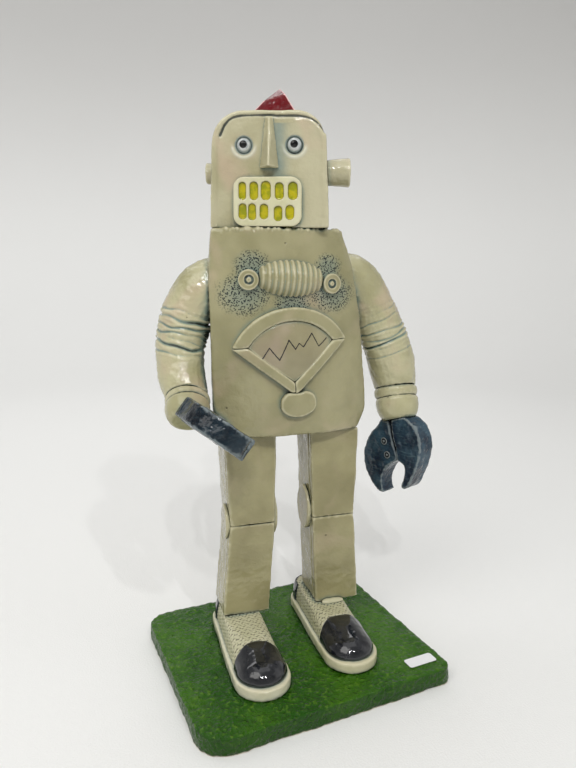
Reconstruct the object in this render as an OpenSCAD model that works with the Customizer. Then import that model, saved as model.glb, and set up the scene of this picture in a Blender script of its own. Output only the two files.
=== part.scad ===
// Hand-built ceramic robot figure, standing on a slab base.
// Frame: millimetres, +Z up, origin at the centre of the base's underside.
// The base's front edge faces -Y. Left and right are the figure's own.

/* [Base] */
// Width of the base slab, side to side
base_w = 156; // [140:1:190]
// Depth of the base slab, front to back
base_d = 132; // [120:1:160]
// Thickness of the base slab
base_t = 11; // [8:0.5:16]
// Radius of the base's right front corner, in plan
right_front_r = 18; // [12:1:24]
// Radius of the base's left front corner
left_front_r = 7; // [4:1:12]
// Radius of the base's two back corners
back_r = 12; // [8:1:18]
// Width of the paper label stuck on the base
label_w = 19.3; // [12:0.1:26]
// Depth of the paper label
label_d = 8; // [5:0.5:12]
// Thickness of the paper label
label_t = 0.2; // [0.1:0.05:0.4]

/* [Stance] */
// Turn of the whole figure on its base, in degrees
figure_turn = -8; // [-15:1:15]
// Sideways place of the right foot
right_foot_x = -27; // [-32:0.5:-22]
// Sideways place of the left foot
left_foot_x = 30.5; // [26:0.5:35]
// How far the right toe reaches in front of the figure's centre
right_toe_reach = 53.5; // [48:0.5:58]
// How far the left toe reaches in front of the figure's centre
left_toe_reach = 45.5; // [40:0.5:54]

/* [Shoes] */
// Turn of each shoe about its toe, in degrees
foot_turn = 2.5; // [0:0.5:6]
// Length of a sole
sole_len = 98; // [88:1:106]
// Width of a sole across the ball of the foot
sole_w = 33; // [28:1:38]
// Width of a sole across the heel
heel_w = 28; // [24:1:32]
// Thickness of a sole
sole_t = 6.5; // [4:0.5:9]
// Width of the rim of sole left showing round the upper
sole_rim = 2.5; // [2:0.25:4.5]
// Height of the upper from the sole to the ankle
upper_h = 11.5; // [9.5:0.5:14]
// Height of the toe of the shoe over the sole
toe_h = 9; // [7.5:0.5:11]
// Length of the right toe cap, from its front to its back edge
right_toe_cap_len = 31; // [27:1:36]
// Length of the left toe cap
left_toe_cap_len = 36; // [30:1:40]
// How far the toe cap and heel counter stand proud of the upper
cap_proud = 1.2; // [0.6:0.1:2]
// How far the heel counter wraps forward along each side
counter_len = 17; // [12:1:24]

/* [Legs] */
// Height of a shin
shin_h = 59.5; // [49:0.5:71]
// Height of a thigh
thigh_h = 58.5; // [49:0.5:70]
// Depth of the legs, front to back
leg_d = 30; // [26:1:34]
// Width of a shin at the ankle
shin_w = 30; // [26:0.5:33]
// Width of a leg at the knee
knee_w = 28.5; // [25:0.5:32]
// Width of a thigh at the hip
thigh_w = 32.5; // [28:0.5:36]
// Wall of the leg slabs
leg_wall = 5; // [4:0.5:7]
// Height of an inner knee plate
inner_plate_h = 31; // [24:1:36]
// Height of an outer knee plate
outer_plate_h = 24; // [18:1:32]
// Width of a knee plate over its height
plate_slimness = 0.76; // [0.55:0.01:0.8]
// How far a knee plate stands out of the leg
plate_proud = 2.6; // [1.8:0.2:4]

/* [Torso] */
// Height of the torso
torso_h = 122.5; // [102:0.5:147]
// Width of the torso along its top
torso_top_w = 79; // [70:1:86]
// Width of the torso along its bottom
torso_bottom_w = 96; // [88:1:106]
// Width of the torso at its widest, under the chest
torso_belly_w = 104; // [95:1:113]
// Depth of the torso, front to back
torso_d = 55; // [50:1:62]
// How much narrower each side is at the back of the torso
torso_back_inset = 9; // [5:0.5:12]
// Sideways lean of the torso's top
torso_lean = -8; // [-12:0.5:4]
// Outside radius of the bowed front slab
bow_r = 115; // [100:1:150]
// Wall of the torso slabs
torso_wall = 6; // [5:0.5:8]
// Radius of the vent holes between the hollow chambers
vent_r = 4; // [2.5:0.5:6]

/* [Chest] */
// Height of the grille's centre over the torso's bottom
grille_z = 92; // [84:0.5:98]
// Length of the ribbed grille barrel
grille_len = 38; // [32:1:44]
// Largest radius of the grille barrel
grille_r = 11.6; // [10:0.2:13]
// Number of ribs round the grille barrel
grille_ribs = 11; // [7:1:13]
// Radius of each boss beside the grille
boss_r = 5.9; // [5:0.1:7]
// How far a boss stands out of the front
boss_proud = 3.6; // [2:0.2:5]
// Radius of the ring pressed into each boss
ring_r = 2.4; // [1.8:0.1:3]
// Distance across the dial frame, corner to corner
dial_w = 70; // [62:1:76]
// Height of the dial frame's corners over the torso's bottom
dial_corner_z = 56; // [52:0.5:62]
// Rise of the arch over the dial's corners
arch_rise = 21.5; // [17:0.5:23]
// Height over the torso's bottom where the two straight bars meet
vee_z = 25.5; // [22:0.5:29]
// Width of the arched strip over the dial
arch_w = 8; // [6:0.5:9.5]
// Width of the two straight bars under the dial
bar_w = 6; // [4.5:0.5:8]
// How far the dial's bars stand out of the front
bar_proud = 4.5; // [3:0.25:6]
// How far the dial's pad stands out of the front
pad_proud = 2.6; // [1.5:0.2:3.5]
// Turn of the whole dial on the chest, in degrees
dial_turn = 4; // [0:0.5:6]
// Width of the knob under the dial
knob_w = 22; // [18:1:25]

/* [Arms] */
// Length of the right cuff band along the wrist
right_cuff_len = 4.5; // [3.5:0.5:7]
// Length of the left cuff band along the wrist
left_cuff_len = 7; // [5:0.5:9]
// Length of the rounded right wrist cap
right_cap_len = 12; // [9:0.5:15]
// Length of the rounded left wrist cap
left_cap_len = 15; // [11:0.5:18]
// Radius of the left cuff band
left_cuff_r = 14.6; // [12.6:0.2:16.6]
// Radius of the right cuff band
right_cuff_r = 13.4; // [12:0.1:15]

/* [Claws] */
// Length of the right claw, from the wrist to the tips
right_claw_len = 48.5; // [42:0.5:54]
// Length of the left claw, from the wrist to the tips
left_claw_len = 55; // [46:0.5:62]
// Width of the right claw
right_claw_w = 45; // [39:0.5:51]
// Width of the left claw
left_claw_w = 47; // [41:0.5:53]
// Thickness of the right claw
right_claw_t = 14; // [12:0.5:16.5]
// Thickness of the left claw
left_claw_t = 14.5; // [12:0.5:17]
// Widest opening of the mouth between the jaws
jaw_gap = 20; // [18:0.25:21]
// Radius of the two rivets on each claw
rivet_r = 2.5; // [1.8:0.1:2.9]
// How far the rivets stand out
rivet_proud = 0.8; // [0.4:0.1:1.4]

/* [Head] */
// Height of the head
head_h = 63.5; // [55:0.5:74]
// Width of the head along its bottom
head_w = 68; // [61:0.5:75]
// Width of the head where its top corners start to round
head_top_w = 65; // [59:0.5:71]
// Depth of the head, front to back
head_d = 42; // [38:0.5:46]
// Radius of the head's top corners
head_corner_r = 18; // [13:0.5:23]
// Turn of the head against the torso, in degrees
head_turn = -19; // [-24:1:0]
// Wall of the head slabs
head_wall = 5; // [4:0.5:6.5]
// Thickness of the band bent over the head and down its sides
band_t = 3.2; // [2.4:0.2:4.4]
// Radius of an eyeball
eye_r = 4.2; // [3.6:0.1:5.2]
// Radius of the rim of an eye socket
socket_r = 5.6; // [4.8:0.1:7]
// Distance between the eyes, centre to centre
eye_gap = 28.5; // [24:0.5:32]
// Height of the eyes over the bottom of the head
eye_z = 45; // [41:0.5:50]
// Height of the nose
nose_h = 28; // [23:0.5:31]
// Width of the foot of the nose
nose_w = 11.5; // [8:0.5:14]
// How far the foot of the nose stands out
nose_proud = 9; // [6:0.5:12]
// Width of the teeth panel
teeth_w = 38.5; // [35:0.5:42]
// Height of the teeth panel
teeth_h = 27; // [23:0.5:30]
// How far the teeth panel stands out of the face
teeth_proud = 4; // [3:0.25:5.5]
// Depth of each tooth's pocket
pocket_deep = 1.6; // [1:0.1:2.2]
// Teeth in each of the two rows
teeth_count = 5; // [4:1:6]
// Radius of the left ear's outer end
left_ear_r = 8.3; // [6.5:0.1:10]
// Radius of the right ear's outer end
right_ear_r = 6.4; // [5:0.1:8]
// Length of the left ear
left_ear_len = 12.5; // [9:0.5:17]
// Length of the right ear
right_ear_len = 5; // [3.5:0.5:12]
// Height of the ears over the bottom of the head
ear_z = 33; // [26:0.5:38]
// Height of the hat's peak over the head
hat_h = 16; // [13:0.5:19]
// Width of the hat's foot
hat_w = 26; // [22:0.5:31]
// Depth of the hat's foot
hat_d = 20; // [16:0.5:24]

/* [Hidden] */

cream = "#c9c3a4";
green = "#2f6b14";
slate = "#2e3f52";
black_glaze = "#26262c";
red = "#8c0c22";

round_fn = 48;
soft_fn = 32;
reach = 300;               // longer than any piece, for cutting blocks

// Levels over the base's underside, each standing on the one below it.
sole_z = base_t;
upper_z = sole_z + sole_t;
ankle_z = upper_z + upper_h;
knee_z = ankle_z + shin_h;
hip_z = knee_z + thigh_h;
shoulder_z = hip_z + torso_h;
crown_z = shoulder_z + head_h;

// Places of the legs, across and front to back.
leg_front_y = 8;
leg_back_y = leg_front_y + leg_d;
right_ankle_x = right_foot_x + 0.5;
left_ankle_x = left_foot_x + 5;
right_knee_x = -21.5;
left_knee_x = 32;
right_hip_x = -22.5;
left_hip_x = 32.3;
shoe_w = sole_w - 2 * sole_rim;
shoe_heel_w = heel_w - 2 * sole_rim;

// Places of the torso and its bowed front.
torso_x = 1;
torso_front_y = -4;
torso_back_y = torso_front_y + torso_d;
bow_centre_y = torso_front_y + bow_r;
head_x = torso_x + torso_lean + 3;
head_y = torso_front_y + 27;

// Points that the dial's frame is drawn from, with the torso's bottom as z = 0.
dial_centre_x = 0;
corner_half = dial_w / 2 - bar_w / 2;
dial_turn_z = dial_corner_z - 8;

// ---------- shared shapes ----------

module figure() {
    rotate([0, 0, figure_turn]) children();
}

module rounded_rectangle(w, d, r) {
    square([w - 2 * r, d], center = true);
    square([w, d - 2 * r], center = true);
    for (x = [-1, 1], y = [-1, 1])
        translate([x * (w / 2 - r), y * (d / 2 - r)]) circle(r = r, $fn = round_fn);
}

// A block with a rectangular foot and top, each given by its centre, width and y range.
module tapered_block(foot_x, foot_w, foot_y, top_x, top_w, top_y, z0, z1) {
    polyhedron(
        points = [
            [foot_x - foot_w / 2, foot_y[0], z0], [foot_x + foot_w / 2, foot_y[0], z0],
            [foot_x + foot_w / 2, foot_y[1], z0], [foot_x - foot_w / 2, foot_y[1], z0],
            [top_x - top_w / 2, top_y[0], z1], [top_x + top_w / 2, top_y[0], z1],
            [top_x + top_w / 2, top_y[1], z1], [top_x - top_w / 2, top_y[1], z1]
        ],
        faces = [
            [0, 1, 2, 3], [7, 6, 5, 4], [4, 5, 1, 0],
            [5, 6, 2, 1], [6, 7, 3, 2], [7, 4, 0, 3]
        ]
    );
}

function unit(v) = v / norm(v);

// One point of a smooth curve through a list of points or numbers.
function smooth_at(list, s) =
    let (
        i = min(floor(s), len(list) - 2),
        t = s - i,
        a = list[max(i - 1, 0)], b = list[i],
        c = list[i + 1], d = list[min(i + 2, len(list) - 1)]
    )
    0.5 * (2 * b + (c - a) * t + (2 * a - 5 * b + 4 * c - d) * t * t
        + (3 * b - a - 3 * c + d) * t * t * t);

// A round tube of changing radius along a smooth path.
module soft_tube(path, radii, steps = 5, sides = 28) {
    rings = (len(path) - 1) * steps + 1;
    centre = [for (i = [0:rings - 1]) smooth_at(path, i / steps)];
    radius = [for (i = [0:rings - 1]) smooth_at(radii, i / steps)];
    along = [for (i = [0:rings - 1])
        unit(centre[min(i + 1, rings - 1)] - centre[max(i - 1, 0)])];
    across = [for (i = [0:rings - 1]) unit(cross(along[i], [1, 1, 0.3]))];
    over = [for (i = [0:rings - 1]) cross(along[i], across[i])];
    polyhedron(
        points = [for (i = [0:rings - 1]) for (k = [0:sides - 1])
            let (a = 360 * k / sides)
            centre[i] + radius[i] * (cos(a) * across[i] + sin(a) * over[i])],
        faces = concat(
            [[for (k = [0:sides - 1]) k]],
            [[for (k = [sides - 1:-1:0]) (rings - 1) * sides + k]],
            [for (i = [0:rings - 2]) for (k = [0:sides - 1])
                let (n = (k + 1) % sides)
                [i * sides + k, (i + 1) * sides + k, (i + 1) * sides + n, i * sides + n]]
        )
    );
}

// ---------- base ----------

// What a rounded corner takes off the base's rectangle.
module corner_cut(x, y, r) {
    scale([x, y]) translate([base_w / 2 - r, base_d / 2 - r]) difference() {
        square(r + 1);
        circle(r = r, $fn = round_fn);
    }
}

module base_slab() {
    color(green) linear_extrude(base_t) difference() {
        square([base_w, base_d], center = true);
        corner_cut(-1, -1, right_front_r);
        corner_cut(1, -1, left_front_r);
        corner_cut(1, 1, back_r);
        corner_cut(-1, 1, back_r);
    }
}

module base_label() {
    label_x = base_w / 2 - label_w / 2 - 5;
    label_y = label_d / 2 + 9 - base_d / 2;
    color("white") translate([label_x, label_y, base_t])
        linear_extrude(label_t) rounded_rectangle(label_w, label_d, 1.5);
}

// ---------- shoes ----------

// The outline of a sole with its toe at y = 0, drawn smaller by a margin.
module sole_outline(margin) {
    hull() {
        translate([0, sole_w / 2]) circle(r = sole_w / 2 - margin, $fn = round_fn);
        translate([0, sole_len * 0.35]) circle(r = sole_w / 2 - margin, $fn = round_fn);
        translate([0, sole_len - heel_w / 2])
            circle(r = heel_w / 2 - margin, $fn = round_fn);
    }
}

module dome(r, h) {
    rotate_extrude($fn = soft_fn)
        polygon([[0, 0], for (a = [0:11.25:90]) [r * cos(a), h * sin(a)]]);
}

// The body of a shoe on its sole, with its toe at y = 0, grown outwards.
module shoe_body(grow) {
    intersection() {
        hull() {
            translate([0, sole_w / 2 + 1.5, 0]) dome(shoe_w / 2 + grow, toe_h + grow);
            translate([0, sole_len * 0.42, 0]) dome(shoe_w / 2 + grow, upper_h + 2 + grow);
            translate([0, sole_len - heel_w / 2, 0])
                dome(shoe_heel_w / 2 + grow, upper_h + 9 + grow);
            translate([0, sole_len * 0.62, upper_h])
                cylinder(r = shoe_heel_w / 2 + grow, h = 0.1, $fn = soft_fn);
        }
        translate([-reach / 2, -reach / 2, 0]) cube([reach, reach, upper_h]);
    }
}

// The upright zone that the toe cap covers; its back edge is bowed.
module toe_zone(toe_cap_len) {
    translate([0, toe_cap_len - sole_w * 0.62, -1])
        cylinder(r = sole_w * 0.62, h = upper_h + 5, $fn = round_fn);
    translate([-reach / 2, -reach, -1]) cube([reach, reach + 8, upper_h + 5]);
}

module counter_zone() {
    translate([-reach / 2, sole_len - counter_len, -1]) cube([reach, reach, upper_h + 5]);
}

module shoe(foot_x, toe_reach) {
    figure() translate([foot_x, -toe_reach, 0]) rotate([0, 0, foot_turn]) children();
}

module sole() {
    color(cream) translate([0, 0, sole_z]) linear_extrude(sole_t) sole_outline(0);
}

module upper(toe_cap_len) {
    color(cream) translate([0, 0, upper_z]) difference() {
        shoe_body(0);
        toe_zone(toe_cap_len);
    }
}

module toe_cap(toe_cap_len) {
    color(black_glaze) translate([0, 0, upper_z]) intersection() {
        shoe_body(cap_proud);
        toe_zone(toe_cap_len);
    }
}

module heel_counter() {
    color(black_glaze) translate([0, 0, upper_z]) intersection() {
        difference() {
            shoe_body(cap_proud);
            shoe_body(0);
        }
        counter_zone();
    }
}

// A roll of clay laid over the instep where the left shin meets the shoe.
module left_tongue() {
    roll_r = 2.4;
    roll_w = 15;
    color(cream) figure() difference() {
        translate([left_ankle_x - 4, leg_front_y - roll_r + 0.6, ankle_z + 0.4])
            rotate([0, 90, 0]) hull() {
                cylinder(r = roll_r, h = roll_w * 0.6, center = true, $fn = 24);
                cylinder(r = roll_r * 0.55, h = roll_w, center = true, $fn = 24);
            }
        shin_block("left");
        translate([left_foot_x, -left_toe_reach, upper_z]) rotate([0, 0, foot_turn])
            shoe_body(0);
    }
}

// ---------- legs ----------

module shin_block(side) {
    ankle_x = side == "right" ? right_ankle_x : left_ankle_x;
    knee_x = side == "right" ? right_knee_x : left_knee_x;
    tapered_block(ankle_x, shin_w, [leg_front_y, leg_back_y],
        knee_x, knee_w, [leg_front_y, leg_back_y], ankle_z, knee_z);
}

module thigh_block(side) {
    knee_x = side == "right" ? right_knee_x : left_knee_x;
    hip_x = side == "right" ? right_hip_x : left_hip_x;
    tapered_block(knee_x, knee_w, [leg_front_y, leg_back_y],
        hip_x, thigh_w, [leg_front_y, leg_back_y], knee_z, hip_z);
}

module front_layer(z0, z1) {
    translate([-reach / 2, leg_front_y - 1, z0]) cube([reach, leg_wall + 1, z1 - z0]);
}

// The hollow inside one leg block, open at both ends.
module leg_hollow(foot_x, foot_w, top_x, top_w, z0, z1) {
    slope = (top_x - foot_x) / (z1 - z0);
    widen = (top_w - foot_w) / (z1 - z0);
    tapered_block(foot_x - slope, foot_w - 2 * leg_wall - widen,
        [leg_front_y, leg_back_y - leg_wall],
        top_x + slope, top_w - 2 * leg_wall + widen,
        [leg_front_y, leg_back_y - leg_wall], z0 - 1, z1 + 1);
}

module shin_front(side) {
    color(cream) figure() intersection() {
        shin_block(side);
        front_layer(ankle_z, knee_z);
    }
}

module shin_back(side) {
    ankle_x = side == "right" ? right_ankle_x : left_ankle_x;
    knee_x = side == "right" ? right_knee_x : left_knee_x;
    color(cream) figure() difference() {
        shin_block(side);
        front_layer(ankle_z - 1, knee_z + 1);
        leg_hollow(ankle_x, shin_w, knee_x, knee_w, ankle_z, knee_z);
    }
}

module thigh_front(side) {
    color(cream) figure() intersection() {
        thigh_block(side);
        front_layer(knee_z, hip_z);
    }
}

module thigh_back(side) {
    knee_x = side == "right" ? right_knee_x : left_knee_x;
    hip_x = side == "right" ? right_hip_x : left_hip_x;
    color(cream) figure() difference() {
        thigh_block(side);
        front_layer(knee_z - 1, hip_z + 1);
        leg_hollow(knee_x, knee_w, hip_x, thigh_w, knee_z, hip_z);
    }
}

// A leaf-shaped pad that covers the knee seam, outward being -1 towards the right.
module knee_plate(side, outward, plate_h, y, z) {
    knee_x = side == "right" ? right_knee_x : left_knee_x;
    plate_w = plate_h * plate_slimness;
    arc_r = (plate_h * plate_h + plate_w * plate_w) / (4 * plate_w);
    color(cream) figure() difference() {
        translate([knee_x, leg_front_y + y, knee_z + z])
            rotate([90, 0, 90])
                translate([0, 0, outward > 0 ? 0 : -(knee_w / 2 + plate_proud)])
                    linear_extrude(knee_w / 2 + plate_proud) intersection() {
                        translate([arc_r - plate_w / 2, 0]) circle(r = arc_r, $fn = 96);
                        translate([plate_w / 2 - arc_r, 0]) circle(r = arc_r, $fn = 96);
                    }
        shin_block(side);
        thigh_block(side);
    }
}

// ---------- torso ----------

// The torso's levels, from its bottom up: height, middle and width.
torso_levels = [
    [0, torso_x, torso_bottom_w],
    [torso_h * 0.1, torso_x + 3.6, torso_belly_w],
    [torso_h * 0.56, torso_x + torso_lean * 0.03, torso_belly_w - 6.5],
    [torso_h * 0.84, torso_x + torso_lean * 0.55, torso_belly_w - 14.5],
    [torso_h, torso_x + torso_lean, torso_top_w]
];

// A solid through the torso's levels with each side moved in by a margin.
module torso_stack(margin) {
    count = len(torso_levels);
    inset = torso_back_inset;
    points = [for (level = torso_levels)
        let (z = hip_z + level[0], l = level[1] - level[2] / 2 + margin,
            r = level[1] + level[2] / 2 - margin)
        each [
            [l, torso_front_y, z], [r, torso_front_y, z],
            [r - inset, torso_back_y, z], [l + inset, torso_back_y, z]
        ]];
    polyhedron(points = points, faces = concat(
        [[0, 1, 2, 3]],
        [[for (k = [3:-1:0]) (count - 1) * 4 + k]],
        [for (i = [0:count - 2]) for (k = [0:3])
            let (n = (k + 1) % 4)
            [i * 4 + k, (i + 1) * 4 + k, (i + 1) * 4 + n, i * 4 + n]]
    ));
}

module torso_block() {
    intersection() {
        torso_stack(0);
        bow(0);
    }
}

// The upright round column that bows the front, grown outwards.
module bow(grow) {
    translate([torso_x, bow_centre_y, hip_z - 20])
        cylinder(r = bow_r + grow, h = torso_h + 40, $fn = 192);
}

// What is left of the torso block behind its front slab.
module torso_rest() {
    intersection() {
        torso_block();
        bow(-torso_wall);
    }
}

module level_band(z0, z1) {
    translate([-reach / 2, -reach / 2, z0]) cube([reach, reach, z1 - z0]);
}

module torso_front() {
    color(cream) figure() difference() {
        torso_block();
        bow(-torso_wall);
    }
}

module torso_back() {
    color(cream) figure() intersection() {
        torso_rest();
        level_band(hip_z + torso_wall, shoulder_z - torso_wall);
        translate([-reach / 2, torso_back_y - torso_wall, 0]) cube([reach, reach, reach * 2]);
    }
}

module torso_side(outward) {
    color(cream) figure() intersection() {
        difference() {
            torso_rest();
            torso_stack(torso_wall);
        }
        level_band(hip_z + torso_wall, shoulder_z - torso_wall);
        translate([outward > 0 ? torso_x : -reach, -reach, 0])
            cube([reach + torso_x, reach + torso_back_y - torso_wall, reach * 2]);
    }
}

module torso_top() {
    color(cream) figure() difference() {
        intersection() {
            torso_rest();
            level_band(shoulder_z - torso_wall, shoulder_z);
        }
        translate([head_x, head_y, shoulder_z - torso_wall - 1])
            cylinder(r = vent_r * 2, h = torso_wall + 2, $fn = round_fn);
    }
}

module torso_bottom() {
    vent_y = (leg_front_y + leg_back_y) / 2;
    color(cream) figure() difference() {
        intersection() {
            torso_rest();
            level_band(hip_z, hip_z + torso_wall);
        }
        for (x = [right_hip_x, (right_hip_x + left_hip_x) / 2, left_hip_x])
            translate([x, vent_y, hip_z - 1])
                cylinder(r = vent_r, h = torso_wall + 2, $fn = round_fn);
    }
}

// ---------- chest ----------

// A relief on the bowed front: its outline in x and z over the hip, and its height.
module relief(proud) {
    intersection() {
        translate([0, torso_front_y + 30, hip_z]) rotate([90, 0, 0])
            linear_extrude(60) children();
        bow(proud);
    }
}

// Moves a child to the bowed front at x, z over the hip, with +Z pointing outwards.
module on_front(x, z) {
    swing = asin((x - torso_x) / bow_r);
    translate([torso_x, bow_centre_y, hip_z + z]) rotate([0, 0, swing])
        translate([0, -bow_r, 0]) rotate([90, 0, 0]) children();
}

grille_x = -0.5;
grille_sink = 4;
grille_tilt = -2.7;
// How far the barrel sits over the line between its bosses.
barrel_lift = 1.8;

// The grille's profile: a spindle with a half-round rib at each step.
module grille_profile() {
    rib = grille_len / grille_ribs;
    spindle = grille_len * 0.585;
    function rib_radius(s) =
        grille_r * sqrt(1 - pow(s / spindle, 2)) - 0.9 * (1 - abs(sin(180 * s / rib + 90)));
    polygon(concat(
        [[0, -grille_len / 2]],
        [for (i = [0:grille_ribs * 6])
            let (s = -grille_len / 2 + i * rib / 6) [rib_radius(s), s]],
        [[0, grille_len / 2]]
    ));
}

module grille_barrel() {
    color(cream) figure() difference() {
        on_front(grille_x, grille_z + barrel_lift) translate([0, 0, -grille_sink])
            rotate([0, 0, grille_tilt]) rotate([0, 90, 0]) rotate([90, 0, 0])
                rotate([-90, 0, 0])
                    rotate_extrude($fn = round_fn) grille_profile();
        torso_block();
    }
}

boss_reach = grille_len / 2 + boss_r - 0.4;

// The barrel with a little room round it, so that the bosses stop at its ends.
module barrel_room() {
    on_front(grille_x, grille_z) rotate([0, 0, grille_tilt])
        cube([grille_len, 3 * grille_r, 3 * grille_r], center = true);
}

module boss(outward) {
    tilt_drop = boss_reach * sin(grille_tilt) * outward;
    color(cream) figure() difference() {
        on_front(grille_x + outward * boss_reach, grille_z + tilt_drop) difference() {
            translate([0, 0, -4]) cylinder(r = boss_r, h = boss_proud + 4, $fn = round_fn);
            translate([0, 0, boss_proud - 0.8]) difference() {
                cylinder(r = ring_r, h = 2, $fn = round_fn);
                translate([0, 0, -1]) cylinder(r = ring_r - 0.8, h = 4, $fn = round_fn);
            }
        }
        torso_block();
        barrel_room();
    }
}

arch_chord = dial_w / 2;
arch_r = (arch_chord * arch_chord + arch_rise * arch_rise) / (2 * arch_rise);

// Turns the dial's outline on the chest.
module dial_place() {
    translate([dial_centre_x, dial_turn_z]) rotate(dial_turn)
        translate([0, -dial_turn_z]) children();
}

// The disc whose edge is the arch's outside, drawn smaller by a margin.
module arch_disc(margin) {
    translate([0, dial_corner_z + arch_rise - arch_r])
        circle(r = arch_r - margin, $fn = 128);
}

// The straight-sided part of the dial under its corners, drawn smaller by a margin.
module vee(margin) {
    offset(delta = -margin) polygon([
        [-dial_w / 2, dial_corner_z], [0, vee_z], [dial_w / 2, dial_corner_z],
        [dial_w / 2, dial_corner_z + 40], [-dial_w / 2, dial_corner_z + 40]
    ]);
}

module dial_pad() {
    color(cream) figure() difference() {
        relief(pad_proud) dial_place() intersection() {
            arch_disc(arch_w);
            vee(bar_w);
        }
        torso_block();
    }
}

module dial_arch() {
    color(cream) figure() difference() {
        relief(bar_proud) dial_place() intersection() {
            difference() {
                arch_disc(0);
                arch_disc(arch_w);
            }
            translate([-dial_w, dial_corner_z + 0.02]) square([dial_w * 2, 40]);
        }
        torso_block();
    }
}

module dial_bar(outward) {
    color(cream) figure() difference() {
        relief(bar_proud) dial_place() difference() {
            intersection() {
                difference() {
                    vee(0);
                    vee(bar_w);
                }
                translate([outward > 0 ? 0 : -reach, 0])
                    square([reach, dial_corner_z]);
            }
            knob_outline();
        }
        torso_block();
    }
}

module knob_outline() {
    translate([1.6, vee_z - 5.8]) {
        scale([1, 0.66]) circle(r = knob_w / 2, $fn = round_fn);
        for (side = [-1, 1]) translate([side * knob_w * 0.2, 1.5])
            circle(r = knob_w * 0.29, $fn = round_fn);
    }
}

module dial_knob() {
    color(cream) figure() difference() {
        relief(bar_proud) dial_place() knob_outline();
        torso_block();
    }
}

// ---------- arms ----------

// Each wrist: where the sleeve ends, and the turn that points the hand down -Z.
right_wrist = [-60, 10.5, shoulder_z - 98.5];
right_wrist_turn = [-50, 0, -8];
left_wrist = [82.5, 26, shoulder_z - 101.5];
left_wrist_turn = [-20, 0, 0];

right_arm_path = [
    [-32, 27, shoulder_z - 30], [-46, 27, shoulder_z - 34], [-56.5, 27, shoulder_z - 51],
    [-61.5, 25.5, shoulder_z - 69], [-62, 20, shoulder_z - 85], right_wrist
];
right_arm_radii = [14, 15.8, 16, 14.8, 14, right_cuff_r - 1];
left_arm_path = [
    [36, 27, shoulder_z - 26], [50, 27, shoulder_z - 29.5], [62, 27, shoulder_z - 46],
    [73, 26.5, shoulder_z - 67], [79.5, 26, shoulder_z - 86], left_wrist
];
left_arm_radii = [14, 15.5, 16, 15.2, 15.8, left_cuff_r - 0.8];

module at_wrist(place, turn) {
    translate(place) rotate([0, 0, turn[2]]) rotate([turn[0], turn[1], 0]) children();
}

// Everything past the end of a sleeve.
module past_wrist() {
    translate([-reach / 2, -reach / 2, -reach]) cube([reach, reach, reach]);
}

module right_arm() {
    color(cream) figure() difference() {
        soft_tube(right_arm_path, right_arm_radii);
        torso_block();
        at_wrist(right_wrist, right_wrist_turn) translate([0, 0, 0.01])
            intersection() {
                past_wrist();
                sphere(r = 40, $fn = 24);
            }
    }
}

module left_arm() {
    color(cream) figure() difference() {
        soft_tube(left_arm_path, left_arm_radii);
        torso_block();
        at_wrist(left_wrist, left_wrist_turn) translate([0, 0, 0.01])
            intersection() {
                past_wrist();
                sphere(r = 40, $fn = 24);
            }
    }
}

module cuff_profile(r, length) {
    rotate_extrude($fn = round_fn) polygon([
        [0, 0], [r - 1.2, 0], [r - 0.3, -length * 0.2], [r, -length * 0.5],
        [r - 0.3, -length * 0.8], [r - 1.2, -length], [0, -length]
    ]);
}

module cap_profile(r, start, length) {
    rotate_extrude($fn = round_fn) polygon(concat(
        [[0, -start], [r - 1.2, -start]],
        [for (a = [0:15:90])
            [r - 0.2 - (r * 0.34) * (1 - cos(a)), -start - 2 - (length - 2) * sin(a)]],
        [[0, -start - length]]
    ));
}

module cuff_band(side) {
    color(cream) figure() if (side == "right")
        at_wrist(right_wrist, right_wrist_turn) cuff_profile(right_cuff_r, right_cuff_len);
    else
        at_wrist(left_wrist, left_wrist_turn) cuff_profile(left_cuff_r, left_cuff_len);
}

module wrist_cap_body(side) {
    if (side == "right")
        at_wrist(right_wrist, right_wrist_turn)
            cap_profile(right_cuff_r, right_cuff_len, right_cap_len);
    else
        at_wrist(left_wrist, left_wrist_turn)
            cap_profile(left_cuff_r, left_cuff_len, left_cap_len);
}

module wrist_cap(side) {
    color(cream) figure() wrist_cap_body(side);
}

// ---------- claws ----------

// How deep each hand is set into its wrist cap.
right_hand_sink = 3.5;
left_hand_sink = 2;
// How far the right hand sits off its wrist cap's middle.
right_hand_shift = [2.5, -4, 5.2];
// Each hand's turn at the end of its wrist cap: pitch, none, heading, roll.
right_hand_turn = [-68, 0, 40, 32];
left_hand_turn = [0, 0, -64, 0];

// The middle of a wrist cap's end, from the place and the turn of the wrist.
function wrist_end(place, turn, length) =
    let (s = sin(turn[0]), c = cos(turn[0]), t = turn[1])
    place + length * [
        -s * sin(turn[2]) - sin(t) * cos(turn[2]) * c,
        s * cos(turn[2]) - sin(t) * sin(turn[2]) * c,
        -c * cos(t)
    ];

module at_hand(side) {
    right = side == "right";
    place = right ? wrist_end(right_wrist, right_wrist_turn, right_cuff_len + right_cap_len)
        : wrist_end(left_wrist, left_wrist_turn, left_cuff_len + left_cap_len);
    turn = right ? right_hand_turn : left_hand_turn;
    translate(place + (right ? right_hand_shift : [0, 0, 0]))
        rotate([0, 0, turn[2]]) rotate([turn[0], turn[1], 0]) rotate([0, 0, turn[3]])
            translate([0, 0, right ? right_hand_sink : left_hand_sink]) children();
}

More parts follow.
